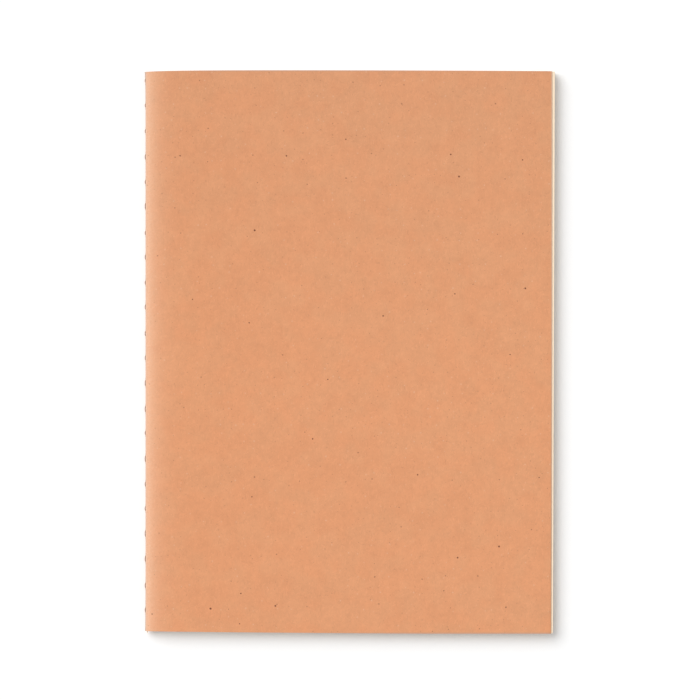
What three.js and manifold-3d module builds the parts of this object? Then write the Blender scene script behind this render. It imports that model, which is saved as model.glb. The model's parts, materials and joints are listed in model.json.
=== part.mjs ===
// A thread-sewn notebook: one section of folded sheets in a folded card cover, lying closed on its rear
// cover. Millimetres. X runs from the fold (-X) to the fore edge (+X), Y from tail (-Y) to head (+Y), Z up
// from the surface that it lies on. Every leaf and cover turns about one line, the hinge line, along Y.

import * as THREE from "three";
import { mergeVertices } from "three/addons/utils/BufferGeometryUtils.js";
import Module from "manifold-3d";

// Card cover
const coverWidth = 147.3; // fold to fore edge
const coverHeight = 204.1; // tail to head
const cardThickness = 0.4;
const foldRadius = 0.6; // outside of the card where it folds
const foldCoreRadius = 0.2; // inside of the same fold

// Sheets
const sheetCount = 12;
const paperThickness = 0.1;
const pressedGap = 0.025; // air between leaves beside the fold
const looseGap = 0.075; // air between leaves away from the fold
const pageTrim = 0.15; // how far a leaf stays inside the card at head and tail
const innerOverhang = 1.05; // how far the middle leaves pass the card at the fore edge
const outerOverhang = 0.8; // the same for the leaves next to the card

// Swell from the pressed fold to the full thickness
const shoulder = 2.2; // distance from the hinge line at which the leaves lie pressed together
const swellLength = 2.6;
const swellEnd = 13.0;

// Sewing
const threadDiameter = 0.4;
const stitchPitch = 9.14;
const firstStitch = 3.73; // head to the middle of the first outside stitch
const stitchLength = 2.6; // outside part of each stitch
const threadTail = 1.4; // thread left at each end inside the fold
const needleHole = 0.6; // side of the square slot that each needle hole is made as

// Running clearances
const coverClearance = 0.15; // card panel to the sewing it turns round
const leafClearance = 0.56; // leaves to the sewing they turn round
const foldGap = 0.04; // card fold to the folded sheets in it, and sewing thread to both

const threadRadius = threadDiameter / 2;
const threadOffset = foldRadius + foldGap + threadRadius; // hinge line to the middle of the thread
const sewingRadius = threadOffset + threadRadius; // all that stays round the hinge line
const leafStart = sewingRadius + leafClearance;
const stitchCount = Math.floor((coverHeight - 2 * firstStitch) / stitchPitch) + 1; // 22 here
const halfThickness = cardThickness + sheetCount * (paperThickness + looseGap);
const pressedHalf = cardThickness + sheetCount * (paperThickness + pressedGap);
const coverForeEdge = coverWidth - foldRadius; // measured from the hinge line
const leafForeEdge = coverForeEdge + innerOverhang;
const leafHeight = coverHeight - 2 * pageTrim;

// The origin is under the middle of the overall box, so the hinge line stands here
const hingeX = (sewingRadius - leafForeEdge) / 2;
const hingeZ = halfThickness;

const colours = { card: 0xe19f74, paper: 0xf7f2e6, foldedPaper: 0xf2ecdd, thread: 0xa07355 };

function finish(colour, roughness) {
  return new THREE.MeshStandardMaterial({ color: colour, roughness, metalness: 0 });
}

// Height of the card's outer face over the hinge line, at distance x from that line
function outerFace(x) {
  const atEnd = Math.exp(-(swellEnd - shoulder) / swellLength);
  const left = (Math.exp(-(Math.min(x, swellEnd) - shoulder) / swellLength) - atEnd) / (1 - atEnd);
  return halfThickness - (halfThickness - pressedHalf) * left;
}

// Height of the card's inner face, with the card's thickness measured square to its slope
function innerFace(x) {
  const step = 0.01;
  const slope = (outerFace(x + step) - outerFace(x - step)) / (2 * step);
  const tilt = x < swellEnd ? slope : 0;
  return outerFace(x) - cardThickness * Math.hypot(1, tilt);
}

// Distances from the hinge line at which a panel's outline has points, closer where it curves more
function stations(start, end, count) {
  const found = [];
  for (let i = 0; i <= count; i += 1) {
    found.push(start + (swellEnd - start) * (i / count) ** 1.8);
  }
  return [...found, end];
}

// The first distance, counted from the fold, at which the card's inner face lies outside the given radius
function firstClearStation(radius) {
  let x = foldRadius;
  while (Math.hypot(x, innerFace(x)) < radius) {
    x += 0.01;
  }
  return x;
}

// The leaves' own stations, and the card's: the same ones with a few more next to the fold
const leafStations = stations(leafStart, leafForeEdge, 7);
const cardStart = firstClearStation(sewingRadius + coverClearance);
const cardLead = [0, 1, 2].map((i) => cardStart + ((leafStart - cardStart) * i) / 3);
const cardStations = [...cardLead, ...leafStations.slice(0, -1), coverForeEdge];

// A sheet with the given top and bottom lines, running along Y
function sheetGeometry(xs, top, bottom, length) {
  const outline = new THREE.Shape();
  xs.forEach((x, i) => (i ? outline.lineTo(x, top(x)) : outline.moveTo(x, top(x))));
  [...xs].reverse().forEach((x) => outline.lineTo(x, bottom(x)));
  outline.closePath();
  const made = new THREE.ExtrudeGeometry(outline, { depth: length, bevelEnabled: false, curveSegments: 1 });
  made.rotateX(Math.PI / 2);
  made.translate(0, length / 2, 0);
  return made;
}

// side is +1 for the front half, over the hinge line, and -1 for the rear half
function coverPanel(side) {
  const outer = (x) => side * outerFace(x);
  const inner = (x) => side * innerFace(x);
  return sheetGeometry(cardStations, side > 0 ? outer : inner, side > 0 ? inner : outer, coverHeight);
}

// Leaf number 1 lies next to the card and number sheetCount in the middle
function leaf(side, number) {
  const share = (sheetCount - number + 0.5) / sheetCount;
  const middle = (x) => side * share * innerFace(x);
  const along = sheetCount > 1 ? (number - 1) / (sheetCount - 1) : 1;
  const foreEdge = coverForeEdge + outerOverhang + (innerOverhang - outerOverhang) * along;
  const xs = [...leafStations.slice(0, -1), foreEdge];
  const half = paperThickness / 2;
  return sheetGeometry(xs, (x) => middle(x) + half, (x) => middle(x) - half, leafHeight);
}

// Where the thread goes through the fold, from head to tail: two holes for each outside stitch
function needleHoles() {
  const holes = [];
  for (let i = 0; i < stitchCount; i += 1) {
    const middle = coverHeight / 2 - firstStitch - i * stitchPitch;
    holes.push(middle + stitchLength / 2, middle - stitchLength / 2);
  }
  return holes;
}

// A closed half round along Y: the left half is a card fold with a hollow core, the right one is solid
function halfRound(left, radius, coreRadius, length) {
  const outline = new THREE.Shape();
  const turn = left ? Math.PI / 2 : -Math.PI / 2;
  const offset = left ? 0 : foldGap;
  outline.absarc(offset, 0, radius - offset, turn, turn + Math.PI, false);
  if (coreRadius > 0) {
    outline.absarc(offset, 0, coreRadius, turn + Math.PI, turn, true);
  }
  outline.closePath();
  const made = new THREE.ExtrudeGeometry(outline, { depth: length, bevelEnabled: false, curveSegments: 4 });
  made.rotateX(Math.PI / 2);
  made.translate(0, length / 2, 0);
  return made;
}

const wasm = await Module();
wasm.setup();

function toSolid(geometry) {
  const bare = geometry.clone();
  bare.deleteAttribute("normal");
  bare.deleteAttribute("uv");
  const merged = mergeVertices(bare, 1e-5);
  return new wasm.Manifold(
    new wasm.Mesh({
      numProp: 3,
      vertProperties: new Float32Array(merged.attributes.position.array),
      triVerts: new Uint32Array(merged.index.array),
    }),
  );
}

function fromSolid(solid) {
  const mesh = solid.getMesh();
  const made = new THREE.BufferGeometry();
  made.setAttribute("position", new THREE.BufferAttribute(new Float32Array(mesh.vertProperties), 3));
  made.setIndex(new THREE.BufferAttribute(new Uint32Array(mesh.triVerts), 1));
  made.computeVertexNormals();
  return made;
}

function withNeedleHoles(geometry) {
  let solid = toSolid(geometry);
  for (const y of needleHoles()) {
    const slot = new THREE.BoxGeometry(4 * foldRadius, needleHole, needleHole);
    slot.translate(0, y, 0);
    solid = solid.subtract(toSolid(slot));
  }
  return fromSolid(solid);
}

// The thread's middle line in the XY plane: long stitches inside the fold, short ones outside it
function threadPath() {
  const corner = threadRadius + 0.05;
  const holes = needleHoles();
  const points = [new THREE.Vector2(threadOffset, holes[0] + threadTail)];
  let side = 1;
  for (const y of holes) {
    points.push(new THREE.Vector2(side * threadOffset, y + corner));
    points.push(new THREE.Vector2(side * (threadOffset - corner), y));
    points.push(new THREE.Vector2(-side * (threadOffset - corner), y));
    points.push(new THREE.Vector2(-side * threadOffset, y - corner));
    side = -side;
  }
  const last = points[points.length - 1];
  points.push(new THREE.Vector2(last.x, last.y - threadTail));
  return points;
}

// A tube round a line of points in the XY plane, with closed ends
function flatTube(points, radius, sides) {
  const corners = [];
  points.forEach((point, i) => {
    const before = points[Math.max(i - 1, 0)];
    const after = points[Math.min(i + 1, points.length - 1)];
    const into = point.clone().sub(i ? before : point.clone().sub(after.clone().sub(point))).normalize();
    const out = after.clone().sub(i < points.length - 1 ? point : before).normalize();
    const along = into.clone().add(out).normalize();
    const widen = 1 / Math.max(along.dot(into), 0.5);
    for (let k = 0; k < sides; k += 1) {
      const turn = (2 * Math.PI * (k + 0.5)) / sides;
      const across = radius * Math.cos(turn) * widen;
      corners.push(point.x + along.y * across, point.y - along.x * across, radius * Math.sin(turn));
    }
  });
  const faces = [];
  const last = points.length - 1;
  for (let i = 0; i < last; i += 1) {
    for (let k = 0; k < sides; k += 1) {
      const a = i * sides + k;
      const b = i * sides + ((k + 1) % sides);
      faces.push(a, a + sides, b, b, a + sides, b + sides);
    }
  }
  for (let k = 1; k < sides - 1; k += 1) {
    faces.push(0, k, k + 1, last * sides, last * sides + k + 1, last * sides + k);
  }
  const made = new THREE.BufferGeometry();
  made.setAttribute("position", new THREE.BufferAttribute(new Float32Array(corners), 3));
  made.setIndex(faces);
  made.computeVertexNormals();
  return made;
}

const notebook = new THREE.Group();
notebook.position.set(hingeX, 0, hingeZ);

function place(name, geometry, material) {
  const mesh = new THREE.Mesh(geometry, material);
  mesh.name = name;
  notebook.add(mesh);
}

const card = finish(colours.card, 0.85);
const paper = finish(colours.paper, 0.9);

place("rear_cover", coverPanel(-1), card);
place("front_cover", coverPanel(1), card);
place("cover_fold", withNeedleHoles(halfRound(true, foldRadius, foldCoreRadius, coverHeight)), card);
place(
  "page_fold",
  withNeedleHoles(halfRound(false, foldRadius, 0, leafHeight)),
  finish(colours.foldedPaper, 0.9),
);
place("sewing_thread", flatTube(threadPath(), threadRadius, 6), finish(colours.thread, 0.7));
for (let number = 1; number <= sheetCount; number += 1) {
  const label = String(number).padStart(2, "0");
  place(`rear_leaf_${label}`, leaf(-1, number), paper);
  place(`front_leaf_${label}`, leaf(1, number), paper);
}

export default notebook;
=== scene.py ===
"""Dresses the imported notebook: kraft card cover, paper leaves, folded backs and plied sewing thread.

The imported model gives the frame, in metres. The fold runs along Y on the -X side, the head is at +Y and the
front cover faces up. u is the distance from the hinge line towards the fore edge, and v the height over that
line.
"""

import json
import math
import random

import bmesh
import bpy
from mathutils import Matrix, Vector, noise


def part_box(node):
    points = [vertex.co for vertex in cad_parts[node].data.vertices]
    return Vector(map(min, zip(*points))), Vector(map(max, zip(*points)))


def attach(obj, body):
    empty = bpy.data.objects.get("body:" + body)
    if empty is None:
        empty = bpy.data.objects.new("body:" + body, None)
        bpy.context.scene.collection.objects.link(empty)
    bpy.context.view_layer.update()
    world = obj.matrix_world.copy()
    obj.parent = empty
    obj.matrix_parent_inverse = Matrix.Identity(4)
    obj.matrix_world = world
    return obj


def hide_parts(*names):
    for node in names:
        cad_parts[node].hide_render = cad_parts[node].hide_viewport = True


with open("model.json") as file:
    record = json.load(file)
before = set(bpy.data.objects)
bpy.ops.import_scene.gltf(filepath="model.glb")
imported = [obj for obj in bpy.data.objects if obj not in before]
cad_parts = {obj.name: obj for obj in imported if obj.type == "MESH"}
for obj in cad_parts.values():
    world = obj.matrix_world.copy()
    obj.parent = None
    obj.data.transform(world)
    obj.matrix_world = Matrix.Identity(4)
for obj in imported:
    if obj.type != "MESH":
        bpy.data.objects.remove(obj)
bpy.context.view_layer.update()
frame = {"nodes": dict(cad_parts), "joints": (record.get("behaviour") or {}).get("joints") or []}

bl_info = {
    "name": "Thread-sewn notebook",
    "version": (1, 0, 0),
    "blender": (4, 5, 0),
    "location": "View3D > Sidebar > Notebook",
    "description": "Makes a slim notebook with a folded card cover, sewn through the fold",
    "category": "Mesh",
}

MM = 0.001


def hinge_line():
    """The point on the hinge line in the middle of the notebook's height."""
    for joint in frame["joints"]:
        if joint["name"] == "centre_hinge":
            return Vector(joint["pos_m"])
    raise RuntimeError("the frame has no centre_hinge")


HINGE = hinge_line()
COVER_LOW, COVER_HIGH = (Vector(corner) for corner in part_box("front_cover"))
LEAF_NUMBERS = range(1, 1 + sum(name.startswith("front_leaf_") for name in frame["nodes"]))

# u of the card's fore edge, and u at which the fold runs on into the two covers
FORE_EDGE = COVER_HIGH.x - HINGE.x
FOLD_EDGE = COVER_LOW.x - HINGE.x

# The spine's pieces stay inside this distance from the hinge line and the covers outside it, so that neither
# cuts into the other when the notebook opens
RUNNING_RADIUS = 1.01 * MM
RUNNING_GAP = 0.01 * MM

# Strip along the card's fore edge that the trimming knife has pressed down
PRESSED_WIDTH = 0.7 * MM
PRESSED_DEPTH = 0.15 * MM

# How far the flare of the fold's unsewn ends reaches, along the fold and across it
HEAD_FLARE_LENGTH = 4 * MM
TAIL_FLARE_LENGTH = 5 * MM
FLARE_WIDTH = 4 * MM

# A needle hole raises the card into a rim, and a stitch presses a dent into it
RIM_RADIUS = 0.36 * MM
RIM_WIDTH = 0.17 * MM
RIM_HEIGHT = 0.11 * MM
RIM_REACH = 1.4 * MM
HOLE_DEPTH = 0.3 * MM
DENT_DEPTH = 0.16 * MM
DENT_WIDTH = 0.45 * MM

# The crumpled corner at the foot of the fold: its middle, how far it reaches, how much lower it lies, and
# how high its creases stand
CRUMPLE_U = 6 * MM
CRUMPLE_WIDTH = 4.5 * MM
CRUMPLE_HEIGHT = 7 * MM
CRUMPLE_DROP = 0.1 * MM
CREASE_HEIGHT = 0.11 * MM

# The most that the card sags, at its fore edge
CARD_SAG = 0.05 * MM

# Exponent that crowds a panel's columns towards the fold, where the panel bends
CROWDING = 2.3

# Share of a fleck's radius that has the fleck's full colour
FLECK_CORE = 0.55

# The largest bark flecks of the front cover, in millimetres: from the hinge line, from the head, and radius
LARGE_FLECKS = (
    (113, 38.5, 0.42),
    (50.5, 31, 0.34),
    (12, 31, 0.3),
    (72, 25, 0.3),
    (110, 30.5, 0.34),
    (136, 32.5, 0.3),
    (39, 58, 0.42),
    (137, 79, 0.4),
    (111.5, 81, 0.3),
    (85.5, 89, 0.33),
    (37, 91.5, 0.28),
    (16.5, 83, 0.24),
    (65.5, 112, 0.3),
    (131.5, 103, 0.28),
    (60, 133.5, 0.34),
    (98, 146.5, 0.34),
    (142, 147.5, 0.26),
    (38, 154.5, 0.3),
    (127.5, 172.5, 0.42),
    (112.5, 176.5, 0.36),
    (34, 189.5, 0.32),
    (46.5, 194, 0.38),
    (23, 195, 0.46),
    (130, 194.5, 0.3),
    (107.5, 188.5, 0.24),
    (33.5, 200.5, 0.26),
    (1.8, 197, 0.26),
)


def length_property(name, description, default):
    """A size, shown with places enough for the paper's thickness."""
    return bpy.props.FloatProperty(
        name=name, description=description, default=default, unit="LENGTH", precision=5
    )


def colour_property(name, description, default):
    """A linear colour without alpha."""
    return bpy.props.FloatVectorProperty(
        name=name, description=description, default=default, subtype="COLOR", size=3, min=0, max=1
    )


class NotebookSizes(bpy.types.PropertyGroup):
    """Sizes that shape the dressed notebook."""

    card_thickness: length_property("Card thickness", "Thickness of the cover's card", 0.4 * MM)
    paper_thickness: length_property("Paper thickness", "Thickness of one leaf away from the fold", 0.1 * MM)
    root_thickness: length_property(
        "Pressed paper", "Thickness of one leaf where it is pressed at the fold", 0.07 * MM
    )
    fold_reach: length_property(
        "Fold reach", "How far the card's fold stands out past the hinge line", 0.67 * MM
    )
    leaf_start: length_property(
        "Leaf start", "Distance from the hinge line at which the leaves start", 1.08 * MM
    )
    shoulder: length_property(
        "Shoulder", "Distance from the hinge line at which the leaves lie pressed together", 2.2 * MM
    )
    swell_drop: length_property(
        "Swell", "How much lower one cover lies at the shoulder than in its flat part", 0.6 * MM
    )
    swell_length: length_property("Swell length", "Distance over which the swell falls off", 2.6 * MM)
    swell_end: length_property(
        "Swell end", "Distance from the hinge line at which the covers are flat", 13 * MM
    )
    head_flare: length_property(
        "Flare at the head", "How far the unsewn end of the fold opens out at the head", 0.33 * MM
    )
    tail_flare: length_property(
        "Flare at the tail", "How far the unsewn end of the fold opens out at the tail", 0.22 * MM
    )
    head_dip: length_property(
        "Dip at the head", "How much lower the head is trimmed at the fold than in the middle", 0.5 * MM
    )
    head_fall: length_property(
        "Fall at the head",
        "How much lower the head is trimmed at the fore edge than in the middle",
        0.36 * MM,
    )
    tail_rise: length_property(
        "Rise at the tail",
        "How much higher the tail is trimmed at the fold than towards the fore edge",
        0.86 * MM,
    )
    card_lean: length_property(
        "Lean of the card", "How much shorter the card is trimmed at the tail than at the head", 0.36 * MM
    )
    leaf_lean: length_property(
        "Lean of the leaves",
        "How much shorter the leaves are trimmed at the tail than at the head",
        0.72 * MM,
    )
    stitch_pitch: length_property("Stitch pitch", "Distance from one outside stitch to the next", 9.14 * MM)
    stitch_length: length_property(
        "Stitch length", "Length of the outside part of the longest stitches", 2.6 * MM
    )
    stitch_wander: length_property("Stitch wander", "How far a stitch may lie from its even place", 0.35 * MM)
    first_stitch: length_property(
        "First stitch", "Distance from the head to the middle of the first outside stitch", 3.73 * MM
    )
    stitch_count: bpy.props.IntProperty(
        name="Stitches",
        description="Number of outside stitches",
        default=22,
        min=2,
    )
    thread_diameter: length_property("Thread diameter", "Diameter of the plied sewing thread", 0.4 * MM)


class NotebookColours(bpy.types.PropertyGroup):
    """Colours of the dressed notebook."""

    kraft: colour_property("Kraft card", "Colour of the cover's card", (0.754, 0.3395, 0.1685))
    kraft_core: colour_property("Cut card", "Colour of the card's cut edges", (0.58, 0.335, 0.23))
    # Painted sheen and highlight: this colour makes the card paler along the fold and the fore edge as if lit
    # there, and also colours the pale flecks
    painted_sheen_and_pale_flecks: colour_property(
        "Scuffed card", "Colour of the card where its fold is scuffed", (0.87, 0.605, 0.435)
    )
    worn_ridge: colour_property(
        "Worn ridge", "Colour of the card on the outermost line of its fold", (0.54, 0.41, 0.34)
    )
    bark: colour_property("Bark flecks", "Colour of the bark flecks in the card", (0.14, 0.04, 0.018))
    paper: colour_property("Paper", "Colour of the leaves", (0.96, 0.79, 0.59))
    thread: colour_property("Thread", "Colour of the sewing thread", (0.42, 0.275, 0.195))


def sizes():
    """The sizes set in the sidebar."""
    return bpy.context.scene.notebook_sizes


def colours():
    """The colours set in the sidebar."""
    return bpy.context.scene.notebook_colours


# Shape of the folded card and of the pile of leaves


def outer_face(u):
    """Height of the card's outer face over the hinge line, away from the fold."""
    s = sizes()
    at_end = math.exp(-(s.swell_end - s.shoulder) / s.swell_length)
    left = math.exp(-(min(u, s.swell_end) - s.shoulder) / s.swell_length)
    full = COVER_HIGH.z - HINGE.z
    return full - s.swell_drop * (left - at_end) / (1 - at_end)


def fold_bow():
    """The fold's outside is u = fold_bow * v * v - fold_reach, a curve that runs on into the outer face."""
    return (FOLD_EDGE + sizes().fold_reach) / outer_face(FOLD_EDGE) ** 2


def skin_height(u):
    """Height of the card's outer face over the hinge line, fold included."""
    if u >= FOLD_EDGE:
        return outer_face(u)
    return math.sqrt(max(u + sizes().fold_reach, 0) / fold_bow())


def inner_face(u):
    """Height of the card's inner face, with the card's thickness measured square to its slope."""
    step = 0.01 * MM
    slope = (skin_height(u + step) - skin_height(u - step)) / (2 * step)
    return skin_height(u) - sizes().card_thickness * math.hypot(1, slope)


def hump(away, width):
    """1 where away is 0, falling off smoothly over the width."""
    return math.exp(-((away / width) ** 2))


def end_flare(u, y):
    """How far the card stands out at u and y, because the two ends of the fold aren't sewn."""
    s = sizes()
    at_head = math.exp(-abs(COVER_HIGH.y - y) / HEAD_FLARE_LENGTH)
    at_tail = math.exp(-abs(y - COVER_LOW.y) / TAIL_FLARE_LENGTH)
    return (s.head_flare * at_head + s.tail_flare * at_tail) * max(0.0, 1 - max(u, 0) / FLARE_WIDTH) ** 2


def trimmed(u, y):
    """Height y after the trim, which leaves the head a little round and the tail a little out of square."""
    s = sizes()
    u = max(u, 0)
    reach = 2.2 * MM
    dip_length = 13 * MM
    rise_length = 105 * MM
    near_head = max(0, 1 - abs(COVER_HIGH.y - y) / reach) ** 2
    near_tail = max(0, 1 - abs(y - COVER_LOW.y) / reach) ** 2
    off_head = s.head_dip * math.exp(-u / dip_length) + s.head_fall * (u / FORE_EDGE) ** 3
    off_tail = s.tail_rise * max(0, 1 - u / rise_length) ** 1.3
    return y - off_head * near_head + off_tail * near_tail


def towards_tail(y):
    """0 at the head and 1 at the tail."""
    return (COVER_HIGH.y - y) / (COVER_HIGH.y - COVER_LOW.y)


def card_edge(y):
    """Distance from the hinge line to the card's fore edge at height y."""
    return FORE_EDGE - sizes().card_lean * towards_tail(y) ** 2


def pressed_edge(u, y):
    """How far the trimming knife has pressed the card's outer face down, close to its fore edge."""
    return PRESSED_DEPTH * max(0, 1 - (card_edge(y) - u) / PRESSED_WIDTH) ** 2


def stitches():
    """Top and bottom of each outside stitch, from the head down: sewn by hand, so no two are alike."""
    s = sizes()
    shortest = 0.62
    chance = random.Random("hand sewing")
    spans = []
    for i in range(s.stitch_count):
        middle = COVER_HIGH.y - s.first_stitch - i * s.stitch_pitch + s.stitch_wander * chance.uniform(-1, 1)
        half = s.stitch_length / 2 * chance.uniform(shortest, 1)
        spans.append((middle + half, middle - half))
    return spans


def needle_holes():
    """Where the thread goes through the card, from the head down: two holes for each stitch."""
    return [y for span in stitches() for y in span]


# Mesh and object helpers


def new_piece(name, bm, materials, body, replaced):
    """Makes an object of a bmesh, which rides on a body and stands for CAD nodes."""
    bmesh.ops.remove_doubles(bm, verts=bm.verts, dist=1e-7)
    bmesh.ops.recalc_face_normals(bm, faces=bm.faces)
    mesh = bpy.data.meshes.new(name)
    bm.to_mesh(mesh)
    bm.free()
    for material in materials:
        mesh.materials.append(material)
    piece = bpy.data.objects.new(name, mesh)
    bpy.context.scene.collection.objects.link(piece)
    mesh.shade_smooth()
    mesh.set_sharp_from_angle(angle=math.radians(35))
    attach(piece, body)
    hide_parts(*replaced)
    return piece


def panel_grid(bm, across, along, place):
    """A grid whose vertices are moved to place(i, j), with i and j counted from 0."""
    made = bmesh.ops.create_grid(bm, x_segments=across, y_segments=along, size=0.5)
    for vert in made["verts"]:
        i = round((vert.co.x + 0.5) * across)
        j = round((vert.co.y + 0.5) * along)
        vert.co = place(i, j)


def crowded_ends(j, count, low, high):
    """Steps from low to high that crowd together at both ends."""
    return (low + high) / 2 - (high - low) / 2 * math.cos(math.pi * j / count)


def cut_along_hinge(bm, keep_fold):
    """Cuts the mesh close to the upright plane that holds the hinge line, and closes the cut."""
    offset = -RUNNING_GAP if keep_fold else RUNNING_GAP
    made = bmesh.ops.bisect_plane(
        bm,
        geom=bm.verts[:] + bm.edges[:] + bm.faces[:],
        dist=1e-8,
        plane_co=HINGE + Vector((offset, 0, 0)),
        plane_no=(1, 0, 0),
        clear_inner=not keep_fold,
        clear_outer=keep_fold,
    )
    rims = [e for e in made["geom_cut"] if isinstance(e, bmesh.types.BMEdge) and e.is_boundary]
    bmesh.ops.holes_fill(bm, edges=rims, sides=0)


def hold_distance(vert, least, most):
    """Moves a vertex straight to or from the hinge line until its distance from it lies between the two."""
    away = Vector((vert.co.x - HINGE.x, 0, vert.co.z - HINGE.z))
    vert.co += away.normalized() * (min(max(away.length, least), most) - away.length)


def depth_in_card(vert, side):
    """How far a vertex lies below the outer face of the front cover, side 1, or the rear one, side -1."""
    return skin_height(vert.co.x - HINGE.x) - side * (vert.co.z - HINGE.z)


# Shader helpers


def put(tree, kind, x, y, **settings):
    """A new node at x and y in the node editor."""
    node = tree.nodes.new(kind)
    node.location = (x, y)
    for key, value in settings.items():
        setattr(node, key, value)
    return node


def join(tree, source, target):
    """Links one socket to another."""
    tree.links.new(source, target)


def feed(tree, value, socket):
    """Sets a socket to a number or a colour, or links it to the socket given as value."""
    if isinstance(value, (int, float)):
        socket.default_value = value
    elif isinstance(value, tuple):
        socket.default_value = (*value, 1)
    else:
        join(tree, value, socket)


def maths(tree, operation, x, y, *values, clamp=False):
    """A Math node fed by sockets or numbers; gives its output."""
    node = put(tree, "ShaderNodeMath", x, y, operation=operation, use_clamp=clamp)
    for socket, value in zip(node.inputs, values):
        feed(tree, value, socket)
    return node.outputs[0]


def mix_colour(tree, x, y, factor, a, b, blend="MIX"):
    """A Mix node for colours, fed by sockets, numbers or colours; gives its output."""
    node = put(tree, "ShaderNodeMix", x, y, data_type="RGBA", blend_type=blend)
    for socket, value in ((node.inputs[0], factor), (node.inputs[6], a), (node.inputs[7], b)):
        feed(tree, value, socket)
    return node.outputs[2]


def map_range(tree, x, y, value, low, high, to_low=0.0, to_high=1.0):
    """A Map Range node that takes the value from low and high to the two given ends; gives its output."""
    node = put(tree, "ShaderNodeMapRange", x, y, clamp=True)
    join(tree, value, node.inputs[0])
    for i, number in enumerate((low, high, to_low, to_high), start=1):
        node.inputs[i].default_value = number
    return node.outputs[0]


def noise_at(tree, x, y, vector, scale, detail=2.0, roughness=0.5):
    """Noise on the given coordinates, between 0 and 1."""
    node = put(tree, "ShaderNodeTexNoise", x, y)
    join(tree, vector, node.inputs["Vector"])
    node.inputs["Scale"].default_value = scale
    node.inputs["Detail"].default_value = detail
    node.inputs["Roughness"].default_value = roughness
    return node.outputs["Fac"]


def in_millimetres(tree, x, y):
    """Object coordinates in millimetres from the hinge line."""
    coordinates = put(tree, "ShaderNodeTexCoord", x, y)
    place = put(tree, "ShaderNodeMapping", x + 180, y, vector_type="TEXTURE")
    place.inputs["Location"].default_value = HINGE
    place.inputs["Scale"].default_value = (MM, MM, MM)
    join(tree, coordinates.outputs["Object"], place.inputs["Vector"])
    return place.outputs[0]


def turned(tree, x, y, vector, degrees, stretch):
    """The pattern's coordinates turned about Z and stretched along their first axis."""
    turn = put(tree, "ShaderNodeMapping", x, y, vector_type="POINT")
    turn.inputs["Rotation"].default_value = (0, 0, math.radians(degrees))
    turn.inputs["Scale"].default_value = (1 / stretch, 1, 1)
    join(tree, vector, turn.inputs["Vector"])
    return turn.outputs[0]


def group_tree(name, inputs, outputs):
    """A shader node group with named float inputs and outputs, and its input and output nodes."""
    tree = bpy.data.node_groups.new(name, "ShaderNodeTree")
    for label, value in inputs:
        socket = tree.interface.new_socket(label, in_out="INPUT", socket_type="NodeSocketFloat")
        socket.default_value = value
    for label, kind in outputs:
        tree.interface.new_socket(label, in_out="OUTPUT", socket_type=kind)
    return tree, put(tree, "NodeGroupInput", -1400, 0), put(tree, "NodeGroupOutput", 1000, 0)


def fibre_group():
    """Short fibres that lie mostly along the grain, from head to tail: two masks and a height."""
    found = bpy.data.node_groups.get("laid fibres")
    if found:
        return found
    tree, given, result = group_tree(
        "laid fibres",
        [("Fibre width", 0.28), ("Fibre length", 8.0)],
        [("Light", "NodeSocketFloat"), ("Dark", "NodeSocketFloat"), ("Height", "NodeSocketFloat")],
    )
    base = in_millimetres(tree, -1400, 300)
    wander = put(tree, "ShaderNodeTexNoise", -1040, 560)
    wander.inputs["Scale"].default_value = 0.35
    join(tree, base, wander.inputs["Vector"])
    bend = put(tree, "ShaderNodeVectorMath", -860, 460, operation="MULTIPLY_ADD")
    bend.inputs[1].default_value = (0.6, 0.6, 0)
    join(tree, wander.outputs["Color"], bend.inputs[0])
    join(tree, base, bend.inputs[2])
    scale = maths(tree, "DIVIDE", -1040, 0, 1.0, given.outputs["Fibre width"])
    # How far each layer of fibres is turned, in degrees, and the mask that it goes into
    layers = ((82, "Light"), (101, "Light"), (152, "Light"), (76, "Dark"), (94, "Dark"), (21, "Dark"))
    # Levels of the noise at which a fibre starts to show and shows fully
    faint, full = 0.64, 0.76
    masks = {"Light": [], "Dark": []}
    for i, (degrees, kind) in enumerate(layers):
        y = 300 - 260 * i
        across = put(tree, "ShaderNodeMapping", -660, y)
        across.inputs["Rotation"].default_value = (0, 0, math.radians(degrees))
        across.inputs["Location"].default_value = (13.7 * i, 5.3 * i, 0)
        join(tree, bend.outputs[0], across.inputs["Vector"])
        shorten = put(tree, "ShaderNodeCombineXYZ", -660, y - 150)
        share = maths(tree, "DIVIDE", -840, y - 150, 1.0, given.outputs["Fibre length"])
        join(tree, share, shorten.inputs[0])
        shorten.inputs[1].default_value = 1
        shorten.inputs[2].default_value = 0.2
        pull = put(tree, "ShaderNodeVectorMath", -480, y, operation="MULTIPLY")
        join(tree, across.outputs[0], pull.inputs[0])
        join(tree, shorten.outputs[0], pull.inputs[1])
        strand = put(tree, "ShaderNodeTexNoise", -300, y)
        strand.inputs["Detail"].default_value = 1.0
        join(tree, pull.outputs[0], strand.inputs["Vector"])
        join(tree, scale, strand.inputs["Scale"])
        masks[kind].append(map_range(tree, -120, y, strand.outputs["Fac"], faint, full))
    for y, kind in ((200, "Light"), (-500, "Dark")):
        first, second, third = masks[kind]
        most = maths(tree, "MAXIMUM", 100, y, first, second)
        masks[kind] = maths(tree, "MAXIMUM", 260, y, most, third)
        join(tree, masks[kind], result.inputs[kind])
    height = maths(tree, "SUBTRACT", 480, -100, masks["Light"], masks["Dark"])
    join(tree, height, result.inputs["Height"])
    return tree


def face_coordinates(tree, x, y):
    """Flat coordinates in millimetres, turned over for the rear cover so that the two covers aren't alike."""
    apart = put(tree, "ShaderNodeSeparateXYZ", x + 360, y)
    join(tree, in_millimetres(tree, x, y), apart.inputs[0])
    side = maths(tree, "SIGN", x + 540, y - 120, apart.outputs[2])
    flat = put(tree, "ShaderNodeCombineXYZ", x + 900, y)
    join(tree, apart.outputs[0], flat.inputs[0])
    join(tree, maths(tree, "MULTIPLY", x + 720, y - 120, apart.outputs[1], side), flat.inputs[1])
    return flat.outputs[0]


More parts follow.
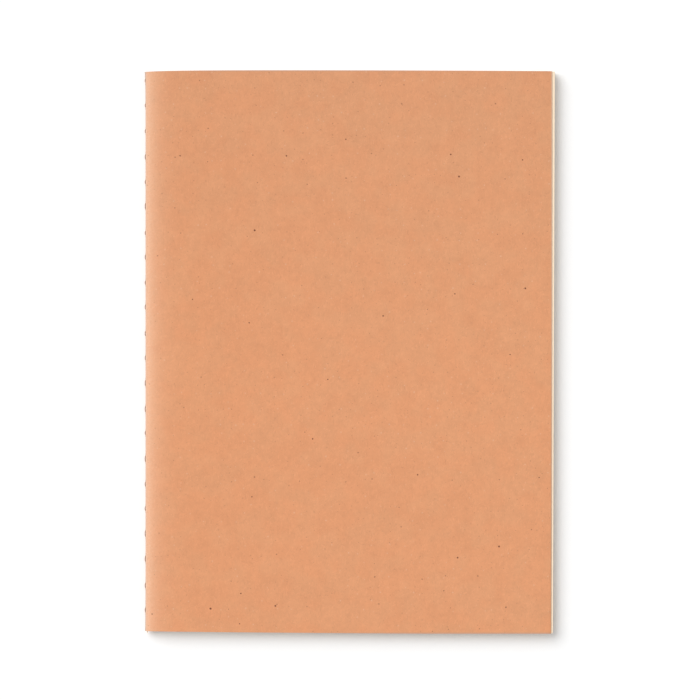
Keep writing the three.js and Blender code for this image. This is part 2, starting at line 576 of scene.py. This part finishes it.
def ragged(tree, x, y, vector, scale, reach):
    """The coordinates pushed about by noise, so that what is drawn on them gets an uneven outline."""
    uneven = put(tree, "ShaderNodeTexNoise", x, y + 160)
    uneven.inputs["Scale"].default_value = scale
    join(tree, vector, uneven.inputs["Vector"])
    shift = put(tree, "ShaderNodeVectorMath", x + 180, y, operation="MULTIPLY_ADD")
    shift.inputs[1].default_value = (reach, reach, 0)
    join(tree, uneven.outputs["Color"], shift.inputs[0])
    centred = put(tree, "ShaderNodeVectorMath", x, y - 160, operation="SUBTRACT")
    centred.inputs[1].default_value = (reach / 2, reach / 2, 0)
    join(tree, vector, centred.inputs[0])
    join(tree, centred.outputs[0], shift.inputs[2])
    return shift.outputs[0]


def fleck_group():
    """Bark flecks strewn over the card: a mask of specks of uneven size."""
    found = bpy.data.node_groups.get("bark flecks")
    if found:
        return found
    tree, given, result = group_tree(
        "bark flecks",
        [("Spacing", 8.0), ("Size", 0.5), ("Share", 0.5)],
        [("Mask", "NodeSocketFloat")],
    )
    flat = ragged(tree, -1000, 300, face_coordinates(tree, -2000, 300), 2.6, 0.5)
    cells = put(tree, "ShaderNodeTexVoronoi", -640, 300, voronoi_dimensions="2D")
    join(tree, flat, cells.inputs["Vector"])
    join(tree, maths(tree, "DIVIDE", -860, 60, 1.0, given.outputs["Spacing"]), cells.inputs["Scale"])
    parts = put(tree, "ShaderNodeSeparateColor", -440, 160)
    join(tree, cells.outputs["Color"], parts.inputs[0])
    kept = maths(tree, "LESS_THAN", -240, 300, parts.outputs[0], given.outputs["Share"])
    real_distance = maths(tree, "MULTIPLY", -440, 400, cells.outputs["Distance"], given.outputs["Spacing"])
    reach = maths(tree, "MULTIPLY", -240, 60, parts.outputs[1], given.outputs["Size"])
    inside = maths(tree, "DIVIDE", -60, 200, real_distance, reach)
    mask = map_range(tree, 120, 200, inside, 1.0, FLECK_CORE)
    join(tree, maths(tree, "MULTIPLY", 320, 200, mask, kept), result.inputs["Mask"])
    return tree


def large_fleck_group():
    """The few large bark flecks, each at its own place: one mask."""
    found = bpy.data.node_groups.get("large bark flecks")
    if found:
        return found
    tree, _, result = group_tree("large bark flecks", [], [("Mask", "NodeSocketFloat")])
    flat = ragged(tree, -1000, 0, face_coordinates(tree, -2000, 0), 3.4, 0.3)
    most = 0.0
    for i, (from_hinge, from_head, radius) in enumerate(LARGE_FLECKS):
        away = put(tree, "ShaderNodeVectorMath", -600, -180 * i, operation="DISTANCE")
        join(tree, flat, away.inputs[0])
        away.inputs[1].default_value = (from_hinge, COVER_HIGH.y / MM - from_head, 0)
        mask = map_range(tree, -400, -180 * i, away.outputs["Value"], radius, FLECK_CORE * radius)
        most = maths(tree, "MAXIMUM", -200 + 40 * i, -180 * i, mask, most)
    join(tree, most, result.inputs["Mask"])
    return tree


def place_group(tree, group, x, y, **values):
    """Places a node group with the given values on its inputs; gives its outputs."""
    node = put(tree, "ShaderNodeGroup", x, y, node_tree=group)
    for label, value in values.items():
        node.inputs[label.replace("_", " ")].default_value = value
    return node.outputs


def start_material(name, roughness):
    """A new material, its node tree and its shader."""
    material = bpy.data.materials.new(name)
    material.use_nodes = True
    tree = material.node_tree
    shader = tree.nodes["Principled BSDF"]
    shader.location = (900, 0)
    tree.nodes["Material Output"].location = (1200, 0)
    shader.inputs["Roughness"].default_value = roughness
    return material, tree, shader


def tinted(colour, red, green, blue):
    """The colour with each part multiplied by its own share, up to 1."""
    return tuple(min(1, part * share) for part, share in zip(colour, (red, green, blue)))


def shaded(colour, share):
    """The colour made darker, or paler up to 1."""
    return tinted(colour, share, share, share)


def roughen(tree, shader, height, strength, depth):
    """Feeds the shader a bumpy normal; depth is how deep the bumps go."""
    bump = put(tree, "ShaderNodeBump", 640, -300)
    bump.inputs["Strength"].default_value = strength
    bump.inputs["Distance"].default_value = depth
    join(tree, height, bump.inputs["Height"])
    join(tree, bump.outputs[0], shader.inputs["Normal"])


def card_ground(tree, base, grainy, fibres):
    """The card's own colour: cloudy, mottled, and full of pale and dark fibres."""
    c = colours()
    cloudy = noise_at(tree, -1300, 500, base, 0.13, 1.0)
    mottled = noise_at(tree, -1300, 380, base, 0.16, 3.0, roughness=0.9)
    pale = place_group(tree, fleck_group(), -1300, -520, Spacing=2.9, Size=0.36, Share=0.4)
    patches = map_range(tree, -1080, 620, cloudy, 0.4, 0.6)
    rosy = tinted(c.kraft, 1.006, 0.988, 0.98)
    straw = tinted(c.kraft, 0.994, 1.012, 1.02)
    colour = mix_colour(tree, -880, 600, patches, rosy, straw)
    grain = map_range(tree, -1080, 400, grainy, 0.3, 0.7, 0.99, 1.01)
    mottling = map_range(tree, -1080, 520, mottled, 0.3, 0.7, 0.95, 1.05)
    shade = maths(tree, "MULTIPLY", -900, 440, grain, mottling)
    grey = put(tree, "ShaderNodeCombineColor", -700, 400)
    for socket in grey.inputs:
        join(tree, shade, socket)
    colour = mix_colour(tree, -520, 500, 1.0, colour, grey.outputs[0], "MULTIPLY")
    light = maths(tree, "MULTIPLY", -880, 150, fibres["Light"], 0.4)
    colour = mix_colour(tree, -340, 400, light, colour, tinted(c.kraft, 1.21, 1.25, 1.3))
    pale_flecks = maths(tree, "MULTIPLY", -880, 80, pale["Mask"], 0.3)
    colour = mix_colour(tree, -260, 400, pale_flecks, colour, tuple(c.painted_sheen_and_pale_flecks))
    dark = maths(tree, "MULTIPLY", -880, 0, fibres["Dark"], 0.1)
    return mix_colour(tree, -180, 400, dark, colour, tuple(c.bark))


def card_painted_light_and_rims(tree, base, grainy, colour):
    """Painted shade at the head and fold, painted sheen along the fold, painted highlight along the fore
    edge, darker rims at head and tail.
    """
    c = colours()
    half_height = COVER_HIGH.y / MM
    fore_edge = FORE_EDGE / MM
    apart = put(tree, "ShaderNodeSeparateXYZ", -1300, -620)
    join(tree, base, apart.inputs[0])
    from_hinge, from_middle, _ = apart.outputs

    # Painted shade: the card is darker towards the head, and a little darker and warmer towards the fold, for
    # the light's uneven fall across the cover
    painted_shade_to_head = map_range(tree, -700, 700, from_middle, -10, half_height)
    colour = mix_colour(tree, -100, 560, painted_shade_to_head, colour, (0.952, 0.976, 1), "MULTIPLY")
    painted_shade_to_fold = map_range(tree, -700, 900, from_hinge, fore_edge, 0)
    colour = mix_colour(tree, 20, 560, painted_shade_to_fold, colour, (1, 0.975, 0.96), "MULTIPLY")

    # Painted sheen: the card is made paler towards the fold, where its sloping face catches the light, and
    # made patchy like scuffed fibres
    painted_sheen_length = 3.4
    from_fold = maths(tree, "ADD", -1080, -620, from_hinge, 0.6)
    falling = maths(tree, "MULTIPLY", -900, -760, from_fold, -1 / painted_sheen_length)
    faded = maths(tree, "POWER", -900, -620, math.e, falling)
    patchy = map_range(tree, -900, -900, grainy, 0.35, 0.65, 0.75, 1.15)
    painted_fold_sheen = maths(tree, "MULTIPLY", -700, -620, faded, patchy)
    painted_fold_sheen = maths(tree, "MULTIPLY", -520, -620, painted_fold_sheen, 0.62, clamp=True)
    colour = mix_colour(tree, 0, 300, painted_fold_sheen, colour, tuple(c.painted_sheen_and_pale_flecks))

    ridge = map_range(tree, -700, -800, from_hinge, -0.25, -0.6, 0, 0.85)
    colour = mix_colour(tree, 80, 280, ridge, colour, tuple(c.worn_ridge))
    # Painted highlight: a pale strip along the card's fore edge, where the cut edge catches the light
    painted_edge_highlight = map_range(tree, -700, -950, from_hinge, fore_edge - 0.55, fore_edge - 0.15, 0, 0.6)
    colour = mix_colour(tree, 120, 260, painted_edge_highlight, colour, tuple(c.painted_sheen_and_pale_flecks))
    # A darker rim along the head and the tail, in the cut card's colour
    off_middle = maths(tree, "ABSOLUTE", -1080, -1000, from_middle)
    darker_rim = map_range(tree, -900, -1050, off_middle, half_height - 0.62, half_height - 0.2, 0, 0.75)
    return mix_colour(tree, 160, 250, darker_rim, colour, tuple(c.kraft_core))


def card_flecks(tree):
    """All the bark flecks of the card in one mask."""
    large = place_group(tree, large_fleck_group(), -1300, -160)
    strewn = place_group(tree, fleck_group(), -1300, -260, Spacing=9.0, Size=0.34, Share=0.5)
    dusted = place_group(tree, fleck_group(), -1300, -440, Spacing=2.3, Size=0.25, Share=0.4)
    medium = maths(tree, "MULTIPLY", -1080, -260, strewn["Mask"], 0.5)
    small = maths(tree, "MULTIPLY", -1080, -440, dusted["Mask"], 0.3)
    bold = maths(tree, "MULTIPLY", -900, -120, large["Mask"], 0.95)
    return maths(tree, "MAXIMUM", -720, -200, maths(tree, "MAXIMUM", -900, -260, medium, small), bold)


def kraft_material():
    """Matt kraft card: mottled, full of fibres, flecked with bark; painted shade, sheen and highlight, and
    darker rims.
    """
    found = bpy.data.materials.get("kraft_card_face")
    if found:
        return found
    material, tree, shader = start_material("kraft_card_face", 0.82)
    shader.inputs["Specular IOR Level"].default_value = 0.3
    base = in_millimetres(tree, -1700, 0)
    grainy = noise_at(tree, -1300, 250, base, 1.9, 3.0)
    fibres = place_group(tree, fibre_group(), -1300, 0, Fibre_width=0.34, Fibre_length=4.0)
    colour = card_painted_light_and_rims(tree, base, grainy, card_ground(tree, base, grainy, fibres))
    flecks = card_flecks(tree)
    colour = mix_colour(tree, 340, 200, flecks, colour, tuple(colours().bark))
    join(tree, colour, shader.inputs["Base Color"])
    join(tree, map_range(tree, 300, 0, grainy, 0.3, 0.7, 0.76, 0.9), shader.inputs["Roughness"])
    felt = maths(tree, "MULTIPLY_ADD", 300, -300, fibres["Height"], 0.7, grainy)
    roughen(tree, shader, maths(tree, "ADD", 460, -300, felt, flecks), 0.3, 0.05 * MM)
    return material


def cut_card_material():
    """The card's cut edge: pressed layers, a little greyer than the face."""
    found = bpy.data.materials.get("kraft_card_cut")
    if found:
        return found
    core = colours().kraft_core
    material, tree, shader = start_material("kraft_card_cut", 0.9)
    base = in_millimetres(tree, -900, 0)
    layers = put(tree, "ShaderNodeMapping", -500, 0)
    layers.inputs["Scale"].default_value = (0.7, 0.7, 14)
    join(tree, base, layers.inputs["Vector"])
    pressed = noise_at(tree, -300, 0, layers.outputs[0], 1.0, 4.0)
    tone = map_range(tree, -100, 0, pressed, 0.3, 0.7)
    colour = mix_colour(tree, 200, 0, tone, shaded(core, 0.8), shaded(core, 1.25))
    join(tree, colour, shader.inputs["Base Color"])
    roughen(tree, shader, pressed, 0.3, 0.03 * MM)
    return material


def paper_material():
    """Smooth ivory writing paper with a faint formation and a few fibres."""
    found = bpy.data.materials.get("page_paper_face")
    if found:
        return found
    paper = colours().paper
    material, tree, shader = start_material("page_paper_face", 0.86)
    shader.inputs["Specular IOR Level"].default_value = 0.3
    base = in_millimetres(tree, -1300, 0)
    cloudy = noise_at(tree, -900, 300, base, 0.5, 4.0)
    fibres = place_group(tree, fibre_group(), -900, 0, Fibre_width=0.2, Fibre_length=6.0)
    tone = map_range(tree, -700, 300, cloudy, 0.3, 0.7)
    colour = mix_colour(tree, -300, 200, tone, shaded(paper, 0.965), tuple(paper))
    seen = maths(tree, "MULTIPLY", -700, 0, fibres["Dark"], 0.18)
    colour = mix_colour(tree, -100, 200, seen, colour, shaded(paper, 0.88))
    join(tree, colour, shader.inputs["Base Color"])
    felt = maths(tree, "ADD", 300, -300, cloudy, fibres["Height"])
    roughen(tree, shader, felt, 0.12, 0.02 * MM)
    return material


def thread_material():
    """Waxed brown linen thread, its fine filaments running along each ply.

    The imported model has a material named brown_thread already, so this one is named otherwise.
    """
    found = bpy.data.materials.get("brown_thread_plied")
    if found:
        return found
    brown = colours().thread
    material, tree, shader = start_material("brown_thread_plied", 0.62)
    shader.inputs["Sheen Weight"].default_value = 0.05
    shader.inputs["Specular IOR Level"].default_value = 0.25
    base = in_millimetres(tree, -1100, 0)
    streaks = noise_at(tree, -600, 200, turned(tree, -800, 200, base, 62, 6.0), 9.0, 3.0)
    tone = map_range(tree, -400, 200, streaks, 0.3, 0.7)
    colour = mix_colour(tree, -100, 200, tone, shaded(brown, 0.62), shaded(brown, 1.5))
    join(tree, colour, shader.inputs["Base Color"])
    roughen(tree, shader, streaks, 0.4, 0.02 * MM)
    return material


# Pieces


def cover_point(side, u, y):
    """A point on a cover's outer face: side 1 is the front cover, -1 the rear one."""
    near_corner = hump(u - CRUMPLE_U, CRUMPLE_WIDTH) * hump(y - COVER_LOW.y, CRUMPLE_HEIGHT)
    crumple = noise.noise(Vector((u / (1.9 * MM), y / (2.3 * MM), 4.2 + side)))
    sag = 0.5 + 0.5 * noise.noise(Vector((u / (46 * MM), y / (52 * MM), 9 * side)))
    height = skin_height(u) + near_corner * (CREASE_HEIGHT * crumple - CRUMPLE_DROP)
    height -= CARD_SAG * sag * (u / FORE_EDGE)
    return Vector((HINGE.x + u - end_flare(u, y), trimmed(u, y), HINGE.z + side * height))


class NOTEBOOK_OT_covers(bpy.types.Operator):
    """Make the front and the rear half of the folded card"""

    bl_idname = "notebook.covers"
    bl_label = "Card covers"

    def execute(self, context):
        card = sizes().card_thickness
        first = -0.35 * MM
        across, along, pressed = 50, 64, 5
        for side, name in ((1, "front_cover"), (-1, "rear_cover")):
            bm = bmesh.new()

            def place(i, j):
                y = crowded_ends(j, along, COVER_LOW.y, COVER_HIGH.y)
                flat_width = card_edge(y) - PRESSED_WIDTH - first
                u = first + flat_width * min(1, i / (across - pressed)) ** CROWDING
                u += PRESSED_WIDTH * max(0, i - across + pressed) / pressed
                return cover_point(side, u, y)

            panel_grid(bm, across, along, place)
            bmesh.ops.recalc_face_normals(bm, faces=bm.faces)
            if bm.faces[0].normal.z * side < 0:
                bmesh.ops.reverse_faces(bm, faces=bm.faces)
            bmesh.ops.solidify(bm, geom=bm.faces[:], thickness=card)
            for vert in bm.verts:
                if depth_in_card(vert, side) < card / 2:
                    vert.co.z -= side * pressed_edge(vert.co.x - HINGE.x, vert.co.y)
            cut_along_hinge(bm, keep_fold=False)
            for vert in bm.verts:
                gaps = 3 if depth_in_card(vert, side) < card / 4 else 1
                hold_distance(vert, RUNNING_RADIUS + gaps * RUNNING_GAP, 1)
            bm.normal_update()
            for face in bm.faces:
                middle = face.calc_center_median()
                at_rim = (
                    face.normal.x > 0.7
                    or abs(face.normal.y) > 0.7
                    or middle.x < HINGE.x + 2 * RUNNING_GAP
                )
                face.material_index = 1 if at_rim else 0
            materials = [kraft_material(), cut_card_material()]
            piece = new_piece(name + "_card", bm, materials, name, [name])
            soften = piece.modifiers.new("worn edges", "BEVEL")
            soften.width = 0.12 * MM
            soften.segments = 2
            soften.limit_method = "ANGLE"
            soften.angle_limit = math.radians(50)
        return {"FINISHED"}


def stations_round(holes, low, high, near, far):
    """Steps along the fold that crowd together round each needle hole."""
    found = [low, high]
    found += [y + offset for y in holes for offset in near]
    y = low
    while y < high:
        if all(abs(y - hole) > max(near) for hole in holes):
            found.append(y)
        y += far
    return sorted(found)


def sewing_lift(v, y, holes, spans):
    """How far the sewing raises the card at height v over the hinge line, or presses it in where below 0."""
    lift = 0.0
    hole = min(holes, key=lambda h: abs(h - y))
    away = math.hypot(y - hole, v)
    if away < RIM_REACH:
        torn = 0.75 + 0.5 * noise.noise(Vector((hole / MM, 3 * math.atan2(v, y - hole), 2)))
        lift += RIM_HEIGHT * torn * hump(away - RIM_RADIUS, RIM_WIDTH)
        lift -= HOLE_DEPTH * hump(away, RIM_WIDTH)
    top, bottom = min(spans, key=lambda span: abs(sum(span) / 2 - y))
    along = (2 * y - top - bottom) / (top - bottom)
    return lift - DENT_DEPTH * hump(along, 0.7) * hump(v, DENT_WIDTH)


class NOTEBOOK_OT_card_fold(bpy.types.Operator):
    """Make the outside of the fold, with the card raised round each needle hole"""

    bl_idname = "notebook.card_fold"
    bl_label = "Card fold"

    def execute(self, context):
        s = sizes()
        spans = stitches()
        holes = needle_holes()
        near = [step * MM for step in (-0.75, -0.55, -0.4, -0.28, -0.16, 0, 0.16, 0.28, 0.4, 0.55, 0.75)]
        ys = stations_round(holes, COVER_LOW.y, COVER_HIGH.y, near, 1.1 * MM)
        across = 30
        bow = fold_bow()
        # The grid reaches past the plane on which the fold is cut off
        widest = 1.3 * math.sqrt(s.fold_reach / bow)
        bm = bmesh.new()

        def place(i, j):
            share = 2 * i / across - 1
            v = widest * math.copysign(abs(share) ** 1.35, share)
            y = ys[j]
            u = bow * v * v - s.fold_reach
            u -= end_flare(u, y)
            lift = sewing_lift(v, y, holes, spans)
            return Vector((HINGE.x + u - lift, trimmed(u, y), HINGE.z + v))

        panel_grid(bm, across, len(ys) - 1, place)
        bmesh.ops.recalc_face_normals(bm, faces=bm.faces)
        if sum(face.normal.x for face in bm.faces) > 0:
            bmesh.ops.reverse_faces(bm, faces=bm.faces)
        bmesh.ops.solidify(bm, geom=bm.faces[:], thickness=s.card_thickness)
        cut_along_hinge(bm, keep_fold=True)
        for vert in bm.verts:
            hold_distance(vert, 0, RUNNING_RADIUS)
        bm.normal_update()
        for face in bm.faces:
            if face.calc_center_median().x > HINGE.x - 2 * RUNNING_GAP:
                face.material_index = 2
            elif abs(face.normal.y) > 0.9:
                face.material_index = 1
        materials = [kraft_material(), cut_card_material(), paper_material()]
        new_piece("card_fold", bm, materials, "spine", ["cover_fold"])
        return {"FINISHED"}


class NOTEBOOK_OT_page_backs(bpy.types.Operator):
    """Make the folded backs of the sheets, nested inside the card's fold"""

    bl_idname = "notebook.page_backs"
    bl_label = "Folded backs"

    def execute(self, context):
        low, high = (Vector(corner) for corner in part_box("page_fold"))
        half_height = 0.4 * MM
        back, front = 0.17 * MM, 0.2 * MM
        fullness = 0.85
        bm = bmesh.new()
        ring = bmesh.ops.create_circle(bm, segments=28, radius=1, cap_ends=True)
        for vert in ring["verts"]:
            reach = front if vert.co.x > 0 else back
            height = half_height * math.copysign(abs(vert.co.y) ** fullness, vert.co.y)
            vert.co = Vector((HINGE.x + reach * vert.co.x, low.y, HINGE.z + height))
        made = bmesh.ops.extrude_face_region(bm, geom=bm.faces[:])
        moved = [v for v in made["geom"] if isinstance(v, bmesh.types.BMVert)]
        bmesh.ops.translate(bm, verts=moved, vec=(0, trimmed(0, high.y) - low.y, 0))
        new_piece("page_backs", bm, [paper_material()], "spine", ["page_fold"])
        return {"FINISHED"}


def leaf_shape(name, number, side, longest):
    """A bmesh of one leaf. The first one lies next to the card, and longest is u of the longest leaf."""
    s = sizes()
    across, along, free = 26, 16, 3
    low, high = (Vector(corner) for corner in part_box(name))
    share = (len(LEAF_NUMBERS) - number + 0.5) / len(LEAF_NUMBERS)
    chance = random.Random(f"{name} trim")
    short = 0.08 * MM * chance.random()
    skew = 0.06 * MM * chance.uniform(-1, 1)
    start = s.leaf_start
    while math.hypot(start, share * inner_face(start)) > s.leaf_start and start > 0.3 * MM:
        start -= 0.01 * MM

    def middle(u, y):
        lifted = 0.1 * max(0, u - card_edge(y)) if side > 0 else 0
        return side * share * inner_face(u) + lifted

    def place(i, j):
        y = crowded_ends(j, along, low.y, high.y)
        held = card_edge(y)
        reach = longest - short - abs(skew) + skew * (2 * j / along - 1) - s.leaf_lean * towards_tail(y)
        u = start + (held - start) * min(1, i / (across - free)) ** CROWDING
        u += (reach - held) * max(0, i - across + free) / free
        return Vector((HINGE.x + u, trimmed(u, y), HINGE.z + middle(u, y)))

    bm = bmesh.new()
    panel_grid(bm, across, along, place)
    bmesh.ops.solidify(bm, geom=bm.faces[:], thickness=s.paper_thickness)
    heights = [v.co.z - HINGE.z - middle(v.co.x - HINGE.x, v.co.y) for v in bm.verts]
    grows_up = sum(heights) > 0
    for vert in bm.verts:
        u = vert.co.x - HINGE.x
        level = HINGE.z + middle(u, vert.co.y)
        eased = min(1, max(0, (u - start) / (2 * MM)))
        thick = s.root_thickness + (s.paper_thickness - s.root_thickness) * eased
        above = vert.co.z > level + (0.25 if grows_up else -0.25) * s.paper_thickness
        vert.co.z = level + (thick / 2 if above else -thick / 2)
    return bm


class NOTEBOOK_OT_leaves(bpy.types.Operator):
    """Make the leaves on both sides of the fold"""

    bl_idname = "notebook.leaves"
    bl_label = "Leaves"

    def execute(self, context):
        longest = max(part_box(f"front_leaf_{number:02d}")[1][0] for number in LEAF_NUMBERS) - HINGE.x
        for half, side in (("front", 1), ("rear", -1)):
            for number in LEAF_NUMBERS:
                name = f"{half}_leaf_{number:02d}"
                bm = leaf_shape(name, number, side, longest)
                new_piece(name + "_paper", bm, [paper_material()], name, [name])
        return {"FINISHED"}


def thread_route():
    """Points that the thread's middle follows, from the head to the tail: each outside stitch is an arch."""
    s = sizes()
    inside = 0.42 * MM
    over_hole = -s.fold_reach
    arch_top = -s.fold_reach - 0.13 * MM
    # Distances along the fold from a hole's middle: the thread turns in and out between them
    bend_end = 0.26 * MM
    bend_start = 0.03 * MM
    tail_step = 0.5 * MM
    chance = random.Random("sewing")
    holes = needle_holes()
    points = [Vector((inside, holes[0] + 1.35 * MM, 0)), Vector((inside, holes[0] + 0.8 * MM, 0))]
    for i, y in enumerate(holes):
        out = i % 2 == 0
        near, far = (inside, over_hole) if out else (over_hole, inside)
        points.append(Vector((near, y + bend_end, 0)))
        points.append(Vector((0.55 * near + 0.1 * far, y + bend_start, 0)))
        points.append(Vector((0.1 * near + 0.55 * far, y - bend_start, 0)))
        points.append(Vector((far, y - bend_end, 0)))
        if i + 1 < len(holes):
            gap = y - holes[i + 1]
            for part in ((0.5,) if out else (0.3, 0.5, 0.7)):
                sway = chance.uniform(-0.05, 0.05) * MM
                points.append(Vector((arch_top if out else inside, y - part * gap, sway)))
    for _ in range(2):
        points.append(Vector((points[-1].x, points[-1].y - tail_step, 0)))
    return points


def smooth_route(points, step):
    """Evenly spaced points on a smooth curve through the given ones."""
    parts = 12
    fine = []
    for i in range(len(points) - 1):
        a, b = points[max(i - 1, 0)], points[i]
        c, d = points[i + 1], points[min(i + 2, len(points) - 1)]
        for k in range(parts):
            t = k / parts
            squared = (2 * a - 5 * b + 4 * c - d) * t * t
            cubed = (3 * b - a - 3 * c + d) * t ** 3
            fine.append(0.5 * (2 * b + (c - a) * t + squared + cubed))
    fine.append(points[-1])
    even, left = [fine[0]], step
    for a, b in zip(fine, fine[1:]):
        gap = (b - a).length
        while gap >= left:
            a = a.lerp(b, left / gap)
            even.append(a)
            gap = (b - a).length
            left = step
        left -= gap
    return even


class NOTEBOOK_OT_thread(bpy.types.Operator):
    """Make the sewing thread of three twisted plies"""

    bl_idname = "notebook.thread"
    bl_label = "Sewing thread"

    def execute(self, context):
        step = 0.12 * MM
        lay = 1.15 * MM
        plies = 3
        radius = sizes().thread_diameter / 2
        ply_radius = radius * 0.5
        up = Vector((0, 0, 1))
        route = smooth_route(thread_route(), step)
        data = bpy.data.curves.new("sewing_thread_plies", "CURVE")
        data.dimensions = "3D"
        data.bevel_depth = ply_radius
        data.bevel_resolution = 1
        data.use_fill_caps = True
        for ply in range(plies):
            spline = data.splines.new("POLY")
            spline.points.add(len(route) - 1)
            for i, point in enumerate(route):
                along = (route[min(i + 1, len(route) - 1)] - route[max(i - 1, 0)]).normalized()
                across = along.cross(up).normalized()
                turn = 2 * math.pi * (i * step / lay + ply / plies)
                offset = (radius - ply_radius) * (math.cos(turn) * across + math.sin(turn) * up)
                spline.points[i].co = (*(HINGE + point + offset), 1)
        coil = bpy.data.objects.new("plies", data)
        context.scene.collection.objects.link(coil)
        mesh = bpy.data.meshes.new_from_object(coil)
        bpy.data.objects.remove(coil)
        bm = bmesh.new()
        bm.from_mesh(mesh)
        bpy.data.meshes.remove(mesh)
        new_piece("sewing_thread_plied", bm, [thread_material()], "spine", ["sewing_thread"])
        return {"FINISHED"}


def seen_directly(tree, x, y):
    """1 where the camera, or glossy or clear material, sees the surface, and 0 where it lights something."""
    path = put(tree, "ShaderNodeLightPath", x, y)
    seen = maths(tree, "MAXIMUM", x + 180, y, path.outputs["Is Camera Ray"], path.outputs["Is Glossy Ray"])
    return maths(tree, "MAXIMUM", x + 360, y, seen, path.outputs["Is Transmission Ray"])


def lay_floor(scene):
    """A white floor that keeps the notebook's shadow, and is lifted to pure white where it is seen."""
    bm = bmesh.new()
    bmesh.ops.create_grid(bm, x_segments=1, y_segments=1, size=6)
    mesh = bpy.data.meshes.new("floor")
    bm.to_mesh(mesh)
    bm.free()
    floor = bpy.data.objects.new("floor", mesh)
    scene.collection.objects.link(floor)
    material, tree, shader = start_material("floor_white", 1.0)
    shader.inputs["Base Color"].default_value = (0.98, 0.98, 0.98, 1)
    shader.inputs["Specular IOR Level"].default_value = 0
    shader.inputs["Emission Color"].default_value = (1, 1, 1, 1)
    lift = maths(tree, "MULTIPLY", 600, -200, seen_directly(tree, 0, -200), 0.06)
    join(tree, lift, shader.inputs["Emission Strength"])
    mesh.materials.append(material)


def light_studio(scene):
    """A plain white sky, and a soft window light from the head's left."""
    world = bpy.data.worlds.new("studio")
    scene.world = world
    world.use_nodes = True
    sky = world.node_tree
    background = sky.nodes["Background"]
    background.inputs["Color"].default_value = (1, 1, 1, 1)
    strength = map_range(sky, -200, 0, seen_directly(sky, -800, 0), 0, 1, 0.48, 1.0)
    join(sky, strength, background.inputs["Strength"])

    key = bpy.data.lights.new("window", "SUN")
    key.angle = math.radians(50)
    key.energy = 2.28
    lamp = bpy.data.objects.new("window", key)
    scene.collection.objects.link(lamp)
    towards = Vector((-0.62, 0.56, 0.86)).normalized()
    lamp.rotation_mode = "QUATERNION"
    lamp.rotation_quaternion = towards.to_track_quat("Z", "Y")


def hang_camera(scene):
    """The camera straight above, with the width of the photograph's view at the front cover's height."""
    view_width = 253.5 * MM
    view_middle = Vector((HINGE.x + 73.52 * MM, 0.71 * MM))
    height = 1.3
    sensor = 36
    data = bpy.data.cameras.new("above")
    data.sensor_width = sensor
    data.lens = sensor * (height - COVER_HIGH.z) / view_width
    data.clip_end = 20
    camera = bpy.data.objects.new("above", data)
    scene.collection.objects.link(camera)
    camera.location = (*view_middle, height)
    scene.camera = camera


class NOTEBOOK_OT_stage(bpy.types.Operator):
    """Set the floor, the soft light and the camera"""

    bl_idname = "notebook.stage"
    bl_label = "Stage"

    def execute(self, context):
        scene = context.scene
        scene.view_settings.view_transform = "Standard"
        lay_floor(scene)
        light_studio(scene)
        hang_camera(scene)
        return {"FINISHED"}


class NOTEBOOK_PT_panel(bpy.types.Panel):
    """Lists what makes the notebook, with its sizes and colours"""

    bl_idname = "NOTEBOOK_PT_panel"
    bl_label = "Notebook"
    bl_space_type = "VIEW_3D"
    bl_region_type = "UI"
    bl_category = "Notebook"

    def draw(self, context):
        column = self.layout.column(align=True)
        for operator in OPERATORS:
            column.operator(operator.bl_idname)
        for group in (context.scene.notebook_sizes, context.scene.notebook_colours):
            box = self.layout.box()
            for label in group.bl_rna.properties.keys():
                if label not in ("rna_type", "name"):
                    box.prop(group, label)


OPERATORS = (
    NOTEBOOK_OT_covers,
    NOTEBOOK_OT_card_fold,
    NOTEBOOK_OT_page_backs,
    NOTEBOOK_OT_leaves,
    NOTEBOOK_OT_thread,
    NOTEBOOK_OT_stage,
)
CLASSES = (NotebookSizes, NotebookColours, *OPERATORS, NOTEBOOK_PT_panel)


def register():
    for made in CLASSES:
        bpy.utils.register_class(made)
    bpy.types.Scene.notebook_sizes = bpy.props.PointerProperty(type=NotebookSizes)
    bpy.types.Scene.notebook_colours = bpy.props.PointerProperty(type=NotebookColours)


def unregister():
    del bpy.types.Scene.notebook_colours
    del bpy.types.Scene.notebook_sizes
    for made in reversed(CLASSES):
        bpy.utils.unregister_class(made)


def main():
    register()
    bpy.ops.notebook.covers()
    bpy.ops.notebook.card_fold()
    bpy.ops.notebook.page_backs()
    bpy.ops.notebook.leaves()
    bpy.ops.notebook.thread()
    bpy.ops.notebook.stage()


if __name__ == "__main__":
    main()
